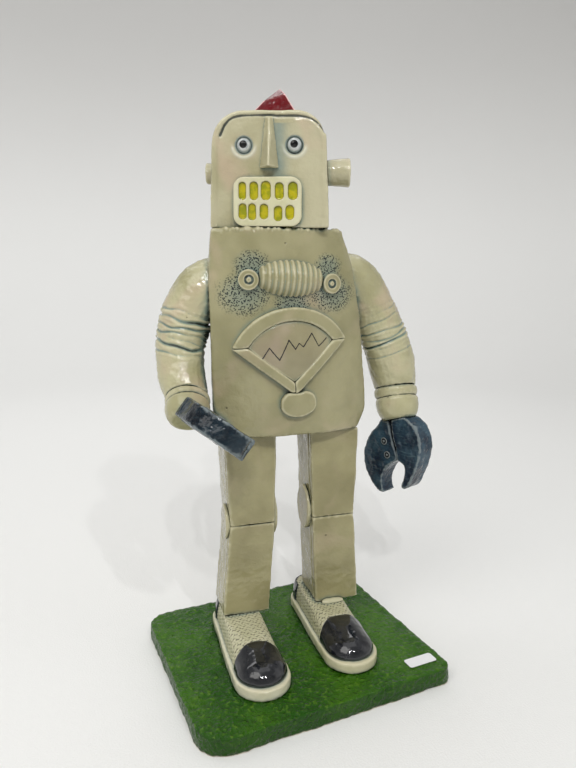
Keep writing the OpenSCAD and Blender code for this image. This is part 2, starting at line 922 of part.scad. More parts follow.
// Each jaw's outline, with the wrist at z = 0: x, z, and how a point moves as the mouth opens.
riveted_jaw = [
    [-4.8, 2, 0], [-7.9, 2, 0], [-13.5, -7.2, 0], [-19.1, -13.6, 0], [-22.8, -20.5, 0],
    [-24.6, -27.4, 0], [-24.4, -34.8, 0], [-22.4, -41.5, 0], [-17.6, -49, 0],
    [-10.6, -54.4, -0.5], [-6.6, -54, -1], [-8.4, -48.6, -1], [-8.6, -43.2, -1],
    [-6.6, -38.2, -1], [-3.6, -34, -1], [0.4, -31, 0], [3.9, -28.8, 0], [3.9, -26, 0],
    [1.2, -20.6, 0], [-1.8, -12.7, 0], [-3.6, -6.2, 0]
];
plain_jaw = [
    [-1.7, 2, 0], [6, 2, 0], [11.3, 0.8, 0], [18.1, -3.5, 0], [21.8, -10.4, 0],
    [22.8, -17.8, 0], [21.8, -25.2, 0], [20, -31.2, 0], [17.8, -36.6, 0], [15.8, -41.8, 0],
    [13.6, -45.2, 0.5], [10.8, -47.4, 1], [8.2, -46.4, 1], [9, -43, 1], [10.6, -37.6, 1],
    [11, -33, 1], [9, -30.2, 0.5], [3.9, -28.8, 0], [3.9, -26, 0], [3.2, -21, 0],
    [0.7, -13.6, 0], [-1, -6, 0]
];
function claw_t(side) = side == "right" ? right_claw_t : left_claw_t;

function claw_point(side, p) = [
    p[0] * (side == "right" ? right_claw_w : left_claw_w) / 47,
    p[1] * (side == "right" ? right_claw_len : left_claw_len) / 55
];

module jaw_outline(side, points) {
    polygon([for (p = points) claw_point(side, p) + [p[2] * (jaw_gap - 20) / 2, 0]]);
}

module hand_slab(t) {
    rotate([90, 0, 0]) translate([0, 0, -t / 2]) linear_extrude(t) children();
}

module claw_plain_jaw(side) {
    color(slate) figure() difference() {
        at_hand(side) hand_slab(claw_t(side)) jaw_outline(side, plain_jaw);
        wrist_cap_body(side);
        torso_block();
    }
}

module claw_riveted_jaw(side) {
    color(slate) figure() difference() {
        at_hand(side) hand_slab(claw_t(side) - 1.5) jaw_outline(side, riveted_jaw);
        wrist_cap_body(side);
        torso_block();
    }
}

module claw_rivets() {
    color(slate) figure() for (side = ["right", "left"]) at_hand(side)
        for (place = [[-6.9, -17.3], [-3.9, -26.4]]) let (spot = claw_point(side, place))
            translate([spot[0], (1.5 - claw_t(side)) / 2, spot[1]]) rotate([90, 0, 0])
                cylinder(r = rivet_r, h = rivet_proud, $fn = round_fn);
}

// ---------- head ----------

module head() {
    figure() translate([head_x, head_y, shoulder_z]) rotate([0, 0, head_turn])
        translate([-0.4, -head_d / 2 - 2, 0]) children();
}

// The head's outline from the front, with its bottom at z = 0, drawn smaller by a margin.
module head_outline(margin) {
    shoulder = head_h - head_corner_r;
    offset(delta = -margin) union() {
        polygon([
            [-head_w / 2, 0], [head_w / 2, 0], [head_top_w / 2, shoulder],
            [head_top_w / 2 - head_corner_r, head_h],
            [head_corner_r - head_top_w / 2, head_h], [-head_top_w / 2, shoulder]
        ]);
        for (x = [-1, 1])
            translate([x * (head_top_w / 2 - head_corner_r), shoulder])
                circle(r = head_corner_r, $fn = 64);
    }
}

// Stands an outline up and gives it a depth, from y0 to y1.
module upright(y0, y1) {
    translate([0, y1, 0]) rotate([90, 0, 0]) linear_extrude(y1 - y0) children();
}

band_foot = head_h - head_corner_r;

// The outline of the face and back slabs, which fit inside the bent band.
module slab_outline() {
    intersection() {
        head_outline(band_t);
        translate([-reach / 2, 0]) square(reach);
    }
    translate([-head_w / 2 + band_t * 1.2, 0]) square([head_w - band_t * 2.4, band_t * 1.5]);
}

module band_outline() {
    intersection() {
        difference() {
            head_outline(0);
            slab_outline();
        }
        translate([-reach / 2, 0]) square(reach);
    }
}

module head_top() {
    color(cream) head() upright(0, head_d) intersection() {
        band_outline();
        translate([-reach / 2, band_foot]) square(reach);
    }
}

module head_side(outward) {
    color(cream) head() upright(0, head_d) intersection() {
        band_outline();
        translate([outward > 0 ? 0 : -reach, 0]) square([reach, band_foot]);
    }
}

module head_face() {
    color(cream) head() difference() {
        upright(0.8, head_wall) slab_outline();
        for (x = [-1, 1]) translate([x * eye_gap / 2, 0, eye_z]) rotate([-90, 0, 0]) {
            cylinder(r = eye_r, h = head_wall + 1, $fn = round_fn);
            cylinder(r1 = socket_r, r2 = eye_r - 0.2, h = 2.6, $fn = round_fn);
        }
    }
}

module head_back() {
    color(cream) head() upright(head_d - head_wall, head_d - 0.8) slab_outline();
}

module eye(outward) {
    sink = eye_r * 0.55;
    cut = head_wall - sink;
    last = asin(cut / eye_r);
    color("white") head() translate([outward * eye_gap / 2, sink, eye_z]) rotate([90, 0, 0])
        rotate_extrude($fn = round_fn) polygon(concat(
            [[0, -cut]],
            [for (i = [0:14]) let (a = -last + i * (90 + last) / 14)
                [max(eye_r * cos(a), 0), eye_r * sin(a)]]
        ));
}

module nose() {
    foot_z = head_h - band_t - nose_h;
    color(cream) head() polyhedron(
        points = [
            [-nose_w / 2, 0, foot_z], [nose_w / 2, 0, foot_z], [0, -nose_proud, foot_z],
            [-2.5, 0, foot_z + nose_h], [2.5, 0, foot_z + nose_h],
            [0, -2, foot_z + nose_h - 1]
        ],
        faces = [
            [0, 1, 2], [5, 4, 3], [3, 4, 1, 0], [4, 5, 2], [4, 2, 1], [5, 3, 0], [5, 0, 2]
        ]
    );
}

teeth_pitch = (teeth_w - 3) / teeth_count;
teeth_rise = (teeth_h - 3) / 2;
teeth_foot = 0.3;
// How each pocket differs from an even row: right, up, wider, taller. Lower row, then upper.
pocket_wander = [
    [[-0.2, 0.9, -0.7, -1.8], [-2, 0.6, -0.9, -1.3], [-2.4, 0.7, -0.5, -2.1],
        [-1.5, -0.4, -0.7, -2.1], [-2, 0.1, -0.5, -2.5]],
    [[-0.3, -0.1, -1.1, -0.7], [-0.9, -0.1, -0.5, -0.4], [-1.3, 0, 0.1, 0],
        [-0.8, -0.2, -0.4, -1], [-0.3, -0.1, 0.1, -0.7]]
];

module teeth_panel() {
    centre_z = teeth_foot + teeth_h / 2;
    pocket_w = teeth_pitch - 1.8;
    pocket_h = teeth_rise - 1.6;
    color("#d9cf5a") head() difference() {
        upright(-teeth_proud, 0) translate([-0.8, centre_z])
            rounded_rectangle(teeth_w, teeth_h, 6);
        for (row = [0, 1], i = [0:teeth_count - 1])
            let (way = pocket_wander[row][i % 5], w = pocket_w + way[2] - max(0, teeth_count - 5) / 2)
                translate([0, 0, centre_z + (row - 0.5) * teeth_rise + way[1]])
                    upright(-teeth_proud - 1, pocket_deep - teeth_proud)
                        translate([(i - (teeth_count - 1) / 2) * teeth_pitch - 0.4 + way[0], 0])
                            rounded_rectangle(w, pocket_h + way[3], w * 0.45);
    }
}

module ear(outward, r, length) {
    root = head_w / 2 - 6;
    color(cream) head() difference() {
        translate([outward * root, head_d * 0.5, ear_z]) rotate([0, outward * 90, 0])
            cylinder(r1 = r - 1.2, r2 = r, h = length + 6, $fn = round_fn);
        upright(-1, head_d + 1) head_outline(0);
    }
}

// A chipped pyramid with a ridge along its front and its peak behind.
module hat() {
    ridge = [[-hat_w * 0.25, -hat_d * 0.42, hat_h * 0.42], [hat_w * 0.24, -hat_d * 0.38, hat_h * 0.68]];
    peak = [hat_w * 0.11, 0.5, hat_h];
    color(red) head() translate([2.4, 8 + hat_d / 2, head_h])
        polyhedron(
            points = [
                [-hat_w / 2, -hat_d / 2, 0], [hat_w / 2, -hat_d / 2, 0],
                [hat_w / 2, hat_d / 2, 0], [-hat_w / 2, hat_d / 2, 0],
                ridge[0], ridge[1], peak
            ],
            faces = [
                [0, 1, 2, 3], [4, 5, 1], [4, 1, 0], [4, 6, 5], [5, 6, 2], [5, 2, 1],
                [6, 3, 2], [6, 4, 3], [4, 0, 3]
            ]
        );
}

// ---------- nodes ----------

base_slab();
base_label();
shoe(right_foot_x, right_toe_reach) sole();  // right_sole
shoe(right_foot_x, right_toe_reach) upper(right_toe_cap_len);  // right_upper
shoe(right_foot_x, right_toe_reach) toe_cap(right_toe_cap_len);  // right_toe_cap
shoe(right_foot_x, right_toe_reach) heel_counter();  // right_heel_counter
shoe(left_foot_x, left_toe_reach) sole();  // left_sole
shoe(left_foot_x, left_toe_reach) upper(left_toe_cap_len);  // left_upper
shoe(left_foot_x, left_toe_reach) toe_cap(left_toe_cap_len);  // left_toe_cap
shoe(left_foot_x, left_toe_reach) heel_counter();  // left_heel_counter
left_tongue();
shin_front("right");  // right_shin_front
shin_back("right");  // right_shin_back
thigh_front("right");  // right_thigh_front
thigh_back("right");  // right_thigh_back
shin_front("left");  // left_shin_front
shin_back("left");  // left_shin_back
thigh_front("left");  // left_thigh_front
thigh_back("left");  // left_thigh_back
knee_plate("right", -1, outer_plate_h, 11, 0);  // right_outer_knee_plate
knee_plate("right", 1, inner_plate_h, 15, 2);  // right_inner_knee_plate
knee_plate("left", 1, outer_plate_h, 15, 1);  // left_outer_knee_plate
knee_plate("left", -1, inner_plate_h, 14, 3.5);  // left_inner_knee_plate
torso_front();
torso_back();
torso_side(-1);  // torso_right_side
torso_side(1);  // torso_left_side
torso_top();
torso_bottom();
grille_barrel();
boss(-1);  // grille_right_boss
boss(1);  // grille_left_boss
dial_pad();
dial_arch();
dial_bar(-1);  // dial_right_bar
dial_bar(1);  // dial_left_bar
dial_knob();
right_arm();
cuff_band("right");  // right_cuff_band
wrist_cap("right");  // right_wrist_cap
claw_plain_jaw("right");  // right_claw_plain_jaw
claw_riveted_jaw("right");  // right_claw_riveted_jaw
left_arm();
cuff_band("left");  // left_cuff_band
wrist_cap("left");  // left_wrist_cap
claw_plain_jaw("left");  // left_claw_plain_jaw
claw_riveted_jaw("left");  // left_claw_riveted_jaw
claw_rivets();
head_face();
head_back();
head_side(-1);  // head_right_side
head_side(1);  // head_left_side
head_top();
nose();
eye(-1);  // right_eye
eye(1);  // left_eye
teeth_panel();
ear(-1, right_ear_r, right_ear_len);  // right_ear
ear(1, left_ear_r, left_ear_len);  // left_ear
hat();
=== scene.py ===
import math

import bpy
import numpy as np
from mathutils import Matrix, Vector


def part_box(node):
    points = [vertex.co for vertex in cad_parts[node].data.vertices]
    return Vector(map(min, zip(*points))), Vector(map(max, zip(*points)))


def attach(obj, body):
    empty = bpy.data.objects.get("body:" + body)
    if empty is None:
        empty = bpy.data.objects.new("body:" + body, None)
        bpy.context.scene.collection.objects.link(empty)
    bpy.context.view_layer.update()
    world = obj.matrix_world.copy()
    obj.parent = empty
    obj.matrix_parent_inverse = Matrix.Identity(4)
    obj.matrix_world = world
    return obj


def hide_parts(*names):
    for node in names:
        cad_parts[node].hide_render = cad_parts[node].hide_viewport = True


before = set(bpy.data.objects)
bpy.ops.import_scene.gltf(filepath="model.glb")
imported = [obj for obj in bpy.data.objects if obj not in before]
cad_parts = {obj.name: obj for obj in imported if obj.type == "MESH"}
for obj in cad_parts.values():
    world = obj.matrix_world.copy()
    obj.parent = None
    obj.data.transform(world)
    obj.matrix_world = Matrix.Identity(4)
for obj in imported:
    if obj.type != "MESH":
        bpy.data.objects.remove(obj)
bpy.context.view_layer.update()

# ---- The studio: a pale paper sweep, lit softly from above and the left -----------------------
# The figure stands on a seamless pale sweep that curves up all round it. One large soft lamp
# hangs at the upper left, a weaker one at the right, and a few bare tubes give the small sparks.
aim = Vector((-.00125, 0, .1786))
camera_turn, camera_rise = math.radians(-24.55), math.radians(9.78)
camera_distance = .3652
camera_place = aim + camera_distance * Vector((
    math.sin(camera_turn) * math.cos(camera_rise),
    -math.cos(camera_turn) * math.cos(camera_rise),
    math.sin(camera_rise)))
bpy.ops.object.camera_add(
    location=camera_place, rotation=(aim - camera_place).to_track_quat("-Z", "Y").to_euler())
camera = bpy.context.object
camera.name = "camera"
camera.data.lens = 28.59
camera.data.sensor_width = 36
camera.data.clip_start = .01
bpy.context.scene.camera = camera
bpy.context.scene.view_settings.view_transform = "Standard"

studio = bpy.context.scene.world or bpy.data.worlds.new("studio")
bpy.context.scene.world = studio
studio.use_nodes = True
studio.node_tree.nodes["Background"].inputs["Color"].default_value = (.98, .98, .96, 1)
studio.node_tree.nodes["Background"].inputs["Strength"].default_value = .37


def lamp(name, place, size, power, tint=(1, 1, 1), towards=(0, 0, .15)):
    """A flat rectangular lamp that faces the figure."""
    bpy.ops.object.light_add(type="AREA", location=place, rotation=(
        Vector(towards) - Vector(place)).to_track_quat("-Z", "Y").to_euler())
    light = bpy.context.object
    light.name = name
    light.data.shape = "RECTANGLE"
    light.data.size, light.data.size_y = size
    light.data.energy = power
    light.data.color = tint


lamp("key_lamp", (-.75, -.45, 1.15), (.8, .8), 5, tint=(1, .985, .95))
lamp("fill_lamp", (.95, -.55, .65), (.7, .9), .7)
lamp("top_lamp", (0, .1, 1.5), (1.2, 1.2), 2.7, towards=(0, 0, 0))
lamp("backdrop_lamp", (0, .65, 1.2), (1.8, .5), 7.2, towards=(0, 1.7, 0))
for tube, side in enumerate((-.42, -.30, .02)):
    lamp(f"tube_{tube}", (side, -.95, 1.05), (.02, .06), 2.6)

# The paper lies flat out to floor_r, bends up in a quarter round of bend_r, and ends in a wall.
floor_r, bend_r, wall_h = 1.1, .8, 1.2
bend_steps = 12
bpy.ops.object.select_all(action="DESELECT")
bpy.ops.mesh.primitive_circle_add(vertices=96, radius=floor_r, fill_type="NGON")
sweep = bpy.context.object
sweep.name = "paper_sweep"
bpy.ops.object.mode_set(mode="EDIT")
bpy.ops.mesh.select_mode(type="EDGE")
for step in range(bend_steps):
    before, lean = (math.pi / 2 * count / bend_steps for count in (step, step + 1))
    grow = (floor_r + bend_r * math.sin(lean)) / (floor_r + bend_r * math.sin(before))
    rise = bend_r * (math.cos(before) - math.cos(lean))
    bpy.ops.mesh.extrude_edges_move(TRANSFORM_OT_translate={"value": (0, 0, rise)})
    bpy.ops.transform.resize(value=(grow, grow, 1))
bpy.ops.mesh.extrude_edges_move(TRANSFORM_OT_translate={"value": (0, 0, wall_h)})
bpy.ops.object.mode_set(mode="OBJECT")
bpy.ops.object.shade_smooth()


class Wire:
    """A value inside one glaze's nodes, so that sums on it read as ordinary sums."""

    def __init__(self, recipe, socket):
        self.recipe, self.socket = recipe, socket

    def _sum(self, operation, first, second):
        return self.recipe.node("ShaderNodeMath", {"operation": operation}, {0: first, 1: second})

    def __add__(self, other): return self._sum("ADD", self, other)
    def __radd__(self, other): return self._sum("ADD", other, self)
    def __sub__(self, other): return self._sum("SUBTRACT", self, other)
    def __rsub__(self, other): return self._sum("SUBTRACT", other, self)
    def __mul__(self, other): return self._sum("MULTIPLY", self, other)
    def __rmul__(self, other): return self._sum("MULTIPLY", other, self)


class Recipe:
    """One material: a mineral mix, made node by node."""

    def __init__(self, name):
        self.material = bpy.data.materials.new(name)
        self.material.use_nodes = True
        self.tree = self.material.node_tree
        self.tree.nodes.clear()
        self.place = self.node("ShaderNodeTexCoord", {}, {}, "Object")

    def node(self, kind, settings, sockets, output=0):
        """Adds one node with its settings and sockets, and gives back one of its outputs."""
        made = self.tree.nodes.new(kind)
        for key, value in settings.items():
            setattr(made, key, value)
        for key, value in sockets.items():
            if isinstance(value, Wire):
                self.tree.links.new(value.socket, made.inputs[key])
            else:
                made.inputs[key].default_value = value
        if made.outputs:
            return Wire(self, made.outputs[output])

    def cloud(self, scale, detail=3, rough=.5, warp=0, stretch=(1, 1, 1)):
        """Soft blotches, scale of them to the metre, or streaks where stretched."""
        place = self.node("ShaderNodeMapping", {}, {"Vector": self.place, "Scale": stretch})
        return self.node("ShaderNodeTexNoise", {}, {
            "Vector": place, "Scale": scale, "Detail": detail, "Roughness": rough,
            "Distortion": warp})

    def dots(self, scale):
        """Distance to the nearest of many scattered points."""
        return self.node("ShaderNodeTexVoronoi", {"feature": "F1"},
                         {"Vector": self.place, "Scale": scale})

    def ramp(self, value, low, high):
        """0 below low, 1 above high, and a soft step between them."""
        return self.node("ShaderNodeMapRange", {"interpolation_type": "SMOOTHSTEP"},
                         {"Value": value, "From Min": low, "From Max": high})

    def blend(self, first, second, share):
        """One colour over another, by a share from 0 to 1."""
        first, second = (c if isinstance(c, Wire) else (*c, 1) for c in (first, second))
        return self.node("ShaderNodeMix", {"data_type": "RGBA"}, {0: share, 6: first, 7: second}, 2)

    def crease(self, reach):
        """How far a spot lies in a corner or under an edge, within reach."""
        return 1 - self.node("ShaderNodeAmbientOcclusion", {"samples": 8}, {"Distance": reach}, 1)

    def mark(self, name):
        """A pattern pressed or drawn on the piece, kept with its points."""
        return self.node("ShaderNodeAttribute", {"attribute_name": name}, {}, 2)

    def relief(self, height, depth, strength=1):
        """Height as a bump of that depth in metres."""
        return self.node("ShaderNodeBump", {}, {
            "Strength": strength, "Distance": depth, "Height": height})

    def fire(self, colour, rough, relief, coat=0, shine=.5):
        """Closes the recipe with its colour, its roughness and its relief."""
        shader = self.node("ShaderNodeBsdfPrincipled", {}, {
            "Base Color": colour, "Roughness": rough, "Normal": relief,
            "Coat Weight": coat, "Coat Roughness": .04, "Specular IOR Level": shine})
        self.node("ShaderNodeOutputMaterial", {}, {"Surface": shader})
        return self.material


paper = Recipe("sweep_paper")
height_up_wall = paper.node("ShaderNodeSeparateXYZ", {}, {0: paper.place}, 2)
# Painted shade: the paper is made greyer further up the wall, where less light reaches it.
tone = paper.blend((.84, .84, .83), (.60, .595, .585),
                   paper.ramp(height_up_wall + .04 * paper.cloud(3), .25, 1.1))
sweep.data.materials.append(paper.fire(tone, .75, paper.relief(paper.cloud(900), .0002)))

# ---- The base: a rolled slab of clay under green glaze ----------------------------------------
# A slab about 11 mm thick with rounded corners, beaten until it is pimpled all over and dipped
# in a runny green glaze that breaks lighter on the bumps and stops just short of the foot.


def select_only(*pieces):
    """Selects those pieces and nothing else, the first of them active."""
    bpy.ops.object.select_all(action="DESELECT")
    for piece in pieces:
        piece.select_set(True)
    bpy.context.view_layer.objects.active = pieces[0]


def work(piece, kind, **settings):
    """Adds one modifier, sets it and applies it."""
    select_only(piece)
    modifier = piece.modifiers.new(kind.lower(), kind)
    for key, value in settings.items():
        setattr(modifier, key, value)
    bpy.ops.object.modifier_apply(modifier=modifier.name)


palm = bpy.data.textures.new("palm", "CLOUDS")
palm.noise_scale, palm.noise_depth = .018, 1
thumb = bpy.data.textures.new("thumb", "CLOUDS")
thumb.noise_scale, thumb.noise_depth = .0045, 2


def clay(name, nodes, grain, soften, palms, thumbs):
    """Soft clay in the outline of those CAD nodes: one skin of even grain, its edges rubbed
    round that many times, its faces left uneven by the palm and by the thumb, each that deep."""
    lumps = []
    for node in nodes:
        lump = bpy.data.objects.new(name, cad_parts[node].data.copy())
        bpy.context.scene.collection.objects.link(lump)
        lumps.append(lump)
    select_only(*lumps)
    if len(lumps) > 1:
        bpy.ops.object.join()
    piece = bpy.context.object
    piece.name = name
    bpy.ops.object.mode_set(mode="EDIT")
    bpy.ops.mesh.select_all(action="SELECT")
    bpy.ops.mesh.remove_doubles(threshold=1e-6)
    bpy.ops.object.mode_set(mode="OBJECT")
    work(piece, "REMESH", mode="VOXEL", voxel_size=grain)
    work(piece, "SMOOTH", factor=.5, iterations=soften)
    if palms:
        work(piece, "DISPLACE", texture=palm, texture_coords="LOCAL", strength=palms)
    if thumbs:
        work(piece, "DISPLACE", texture=thumb, texture_coords="LOCAL", strength=thumbs)
    return piece


def skin(piece):
    """The points of a piece and the way its skin faces at each, as two tables."""
    count = len(piece.data.vertices)
    points, normals = np.empty(count * 3, np.float32), np.empty(count * 3, np.float32)
    piece.data.vertices.foreach_get("co", points)
    piece.data.vertices.foreach_get("normal", normals)
    return points.reshape(-1, 3).astype(float), normals.reshape(-1, 3).astype(float)


def mark(piece, name, values):
    """Keeps a number with each point of the piece, for its glaze to read."""
    layer = piece.data.attributes.new(name, "FLOAT", "POINT")
    layer.data.foreach_set("value", np.asarray(values, np.float32))


def sharpness(piece, rubs=4):
    """How sharply the skin bends at each point, per mm: over 0 on an edge, under 0 in a groove.
    It is evened out between neighbouring points that many times."""
    points, normals = skin(piece)
    ends = np.empty(len(piece.data.edges) * 2, np.int32)
    piece.data.edges.foreach_get("vertices", ends)
    ends = ends.reshape(-1, 2)
    near, far = np.concatenate([ends, ends[:, ::-1]]).T
    count = np.maximum(np.bincount(near, minlength=len(points)), 1)

    def around(values):
        return np.bincount(near, values[far], len(points)) / count

    middle = np.stack([around(points[:, axis]) for axis in range(3)], 1)
    reach = np.bincount(near, ((points[far] - points[near]) ** 2).sum(1), len(points)) / count
    bend = 4 * ((points - middle) * normals).sum(1) / np.maximum(reach, 1e-12) / 1000
    for _ in range(rubs):
        bend = (bend + around(bend)) / 2
    return bend


def set_on(piece, material, slot, *nodes):
    """The finished piece gets its glaze and takes the place of its CAD nodes."""
    mark(piece, "sharpness", sharpness(piece))
    piece.data.materials.clear()
    piece.data.materials.append(material)
    select_only(piece)
    bpy.ops.object.shade_smooth()
    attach(piece, "root")
    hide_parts(*nodes)


# The foot is flat, and so is a bed for the label: that far past its edge, and that far under it.
base = clay("base", ["base_slab"], .0009, 5, .0010, .0015)
points = skin(base)[0]
points[:, 2] = np.maximum(points[:, 2], 0)
bed_edge, bed_gap = .0015, .0001
label_low, label_high = (np.array(corner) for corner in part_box("base_label"))
in_bed = ((points[:, :2] > label_low[:2] - bed_edge)
          & (points[:, :2] < label_high[:2] + bed_edge)).all(1)
points[in_bed, 2] = np.minimum(points[in_bed, 2], label_low[2] - bed_gap)
base.data.vertices.foreach_set("co", points.astype(np.float32).ravel())
base.data.update()
# The upright sides are marked so that the glaze can paint them darker than the top, as shade.
mark(base, "side", 1 - np.abs(skin(base)[1][:, 2]))

green = Recipe("green_glaze")
pimples = green.cloud(420, 2, .55)
patches = green.ramp(green.cloud(26, 4, .6), .35, .68)
leaf = green.blend((.012, .070, 0), (.038, .128, .001), patches)
leaf = green.blend(leaf, (.090, .200, .012), green.ramp(pimples, .54, .72) * .7)
leaf = green.blend(leaf, (.006, .034, .002), green.ramp(green.crease(.008), .10, .70))
# Painted shade: darker green on the upright sides.
leaf = green.blend(leaf, (.012, .050, .002), green.ramp(green.mark("side"), .3, .8) * .6)
height_over_table = green.node("ShaderNodeSeparateXYZ", {}, {0: green.place}, 2)
bare = 1 - green.ramp(height_over_table + green.cloud(60) * .0016, .0012, .0018)
leaf = green.blend(leaf, (.52, .47, .38), bare)
set_on(base, green.fire(leaf, .07 + .55 * bare + .12 * green.cloud(300),
                        green.relief(pimples, .0022, 1), shine=.25), "green_glaze", "base_slab")

# ---- The sticker ------------------------------------------------------------------------------
# A small blank price label of white paper with rounded corners, pressed flat onto the glaze near
# the base's front left corner.
label = Recipe("label_paper")
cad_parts["base_label"].data.materials.clear()
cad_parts["base_label"].data.materials.append(label.fire(
    label.blend((.80, .80, .83), (.86, .86, .88), label.cloud(160)), .62,
    label.relief(label.cloud(2600), .00005)))

# ---- The shoes: soles -------------------------------------------------------------------------
# Each sole is a thick slice of clay cut to the foot's outline, its edge rolled round with a
# finger and left standing proud all round the upper. Cream glaze, blue-green in the crease.
sides = ("right", "left")
figure_turn, shoe_turn = math.radians(-8), math.radians(2.5)
feet = {"right": (-.027, -.0535, 0), "left": (.0305, -.0455, 0)}
figure = Matrix.Rotation(figure_turn, 4, "Z")
shoes = {side: figure @ Matrix.Translation(feet[side]) @ Matrix.Rotation(shoe_turn, 4, "Z")
         for side in sides}


def cream(name, thin, thick, blush=(.50, .385, .28), blushing=.5, pooling=1, rough=.05,
          reach=.0045, finish=None):
    """The figure's glossy cream glaze: paler where thin, olive where thick, pinkish over bare
    clay, with blue-green pools in its creases, a dark line in the seams, and a few pits.
    Creases are felt within reach, and finish adds what one piece alone has."""
    pool, seam = (.14, .24, .23), (.030, .033, .022)
    pale_edge, pit_dirt = (.58, .54, .37), (.10, .085, .05)
    mix = Recipe(name)
    colour = mix.blend(thin, thick, mix.ramp(mix.cloud(24, 3, .55), .36, .66))
    colour = mix.blend(colour, blush, mix.ramp(mix.cloud(38, 2, .5, .4), .50, .74) * blushing)
    crease = mix.crease(reach)
    wander = .55 + .9 * mix.cloud(75, 3)
    colour = mix.blend(colour, pool, mix.ramp(crease * wander, .10, .62) * (.85 * pooling))
    colour = mix.blend(colour, seam, mix.ramp(crease, .42, .78) * .92)
    edge = mix.mark("sharpness")
    colour = mix.blend(colour, pale_edge, mix.ramp(edge * (.5 + mix.cloud(110)), .16, .75) * .6)
    colour = mix.blend(colour, pool, mix.ramp(0 - edge, .18, .80) * (.55 * pooling))
    pit = 1 - mix.ramp(mix.dots(95), .035, .075)
    pit = pit * mix.ramp(mix.cloud(30, 1), .50, .60)
    colour = mix.blend(colour, pit_dirt, pit * .8)
    orange_peel = mix.cloud(230, 3, .55) - 1.5 * pit
    if finish:
        colour = finish(mix, colour)
    return mix.fire(colour, rough + .10 * mix.cloud(60, 2), mix.relief(orange_peel, .0010, .6),
                    coat=.2, shine=.42)


sole_glaze = cream("sole_glaze", (.722, .697, .538), (.622, .58, .386),
                   blushing=.2, pooling=.8)
for side in sides:
    sole = clay(f"{side}_sole_roll", [f"{side}_sole"], .0007, 14, .0006, .0004)
    set_on(sole, sole_glaze, "sole_glaze", f"{side}_sole")

# ---- The shoes: uppers ------------------------------------------------------------------------
# A pad of clay over the sole, stamped all over with a coarse knit so that it looks like canvas.
# A thin cream glaze stays on the stitches, and brown oxide stays in the hollows.
stitch_w, stitch_l, stitch_depth = .0024, .0021, .00055
stitch_slant = .30


def press(piece, push):
    """Moves the skin along its own normals, by what push makes of its points and normals."""
    points, normals = skin(piece)
    points += normals * push(points, normals)[:, None]
    piece.data.vertices.foreach_set("co", points.astype(np.float32).ravel())
    piece.data.update()


def within(place, points):
    """Points in the metres of a turned and moved place."""
    turned = np.array(place.inverted())
    return points @ turned[:3, :3].T + turned[:3, 3]


def knit(shoe, points, normals):
    """How high a stitch stands at each point: 1 on its back, 0 in the hollows."""
    flat = within(shoe, points)
    upright = np.abs(normals[:, 2]) < .6
    across = np.where(upright, flat[:, 2] * 1.1, flat[:, 0]) / stitch_w
    down = flat[:, 1] / stitch_l
    row = np.floor(down)
    across = across + .5 * (row % 2)
    u, v = across - np.floor(across) - .5, down - row - .5
    u = u + stitch_slant * v * np.where(np.floor(across) % 2 == 0, 1, -1)
    return np.sqrt(np.clip(1 - (u / .50) ** 2 - (v / .56) ** 2, 0, 1))


def stamped(mix, colour):
    """Brown oxide in the hollows between the stitches."""
    hollow = mix.ramp(mix.mark("hollow") + .5 * mix.cloud(420) - .25, .55, .95)
    return mix.blend(colour, (.075, .060, .040), hollow * .85)


upper_glaze = cream("upper_glaze", (.53, .515, .345), (.44, .425, .26), blushing=.1, pooling=.9,
                    rough=.22, finish=stamped)
for side in sides:
    upper = clay(f"{side}_canvas_upper", [f"{side}_upper"], .00055, 4, .0004, 0)
    raised = knit(shoes[side], *skin(upper))
    press(upper, lambda points, normals: (raised - .55) * stitch_depth)
    mark(upper, "hollow", 1 - raised)
    set_on(upper, upper_glaze, "upper_glaze", f"{side}_upper")

# ---- The shoes: toe caps, heel counters and the roll over the left instep ----------------------
# Domed skins of clay luted over the toes, and a strip round each heel with a strap, under a glossy
# charcoal glaze that greys where it is thin. The roll over the left instep has the canvas glaze.
charcoal = Recipe("black_glaze")
soot = charcoal.blend((.006, .007, .010), (.024, .025, .030),
                      charcoal.ramp(charcoal.cloud(95, 4, .6), .38, .72))
soot = charcoal.blend(soot, (.07, .068, .075),
                      charcoal.ramp(charcoal.cloud(240, 3), .62, .80) * .5)
soot = charcoal.blend(soot, (.03, .07, .075), charcoal.ramp(charcoal.crease(.003), .15, .6) * .8)
black_glaze = charcoal.fire(soot, .04 + .08 * charcoal.cloud(120),
                            charcoal.relief(charcoal.cloud(210, 2), .0006, .4), coat=.5)
for side in sides:
    toe = clay(f"{side}_toe_cap_skin", [f"{side}_toe_cap"], .0006, 10, .0005, .0003)
    set_on(toe, black_glaze, "black_glaze", f"{side}_toe_cap")
    heel = clay(f"{side}_heel_strap", [f"{side}_heel_counter"], .00055, 5, .0004, .0003)
    set_on(heel, black_glaze, "black_glaze", f"{side}_heel_counter")
# The roll has the upper's glaze but no knit.
tongue = clay("left_instep_roll", ["left_tongue"], .0006, 6, .0006, .0004)
mark(tongue, "hollow", np.zeros(len(tongue.data.vertices)))
set_on(tongue, upper_glaze, "upper_glaze", "left_tongue")

# ---- The legs ---------------------------------------------------------------------------------
# Each shin and each thigh is a hollow box: a flat slab in front and a folded slab behind it. The
# joins show as lines down the sides, and the thigh sits on the shin with a dark joint between.
leg_glaze = cream("leg_glaze", (.335, .305, .160), (.245, .220, .108), blushing=.25, pooling=.55)
for side in sides:
    for part in ("shin", "thigh"):
        for slab in ("front", "back"):
            name = f"{side}_{part}_{slab}"
            piece = clay(name + "_slab", [name], .0008, 10, .0012, .0004)
            set_on(piece, leg_glaze, "leg_glaze", name)

# ---- The knee plates --------------------------------------------------------------------------
# Leaf-shaped pads luted over each knee joint at the sides of the legs, thick in the middle and
# pinched at the rim.
for side in sides:
    for face in ("outer", "inner"):
        name = f"{side}_{face}_knee_plate"
        plate = clay(name + "_leaf", [name], .0006, 6, .0003, .0002)
        set_on(plate, leg_glaze, "leg_glaze", name)

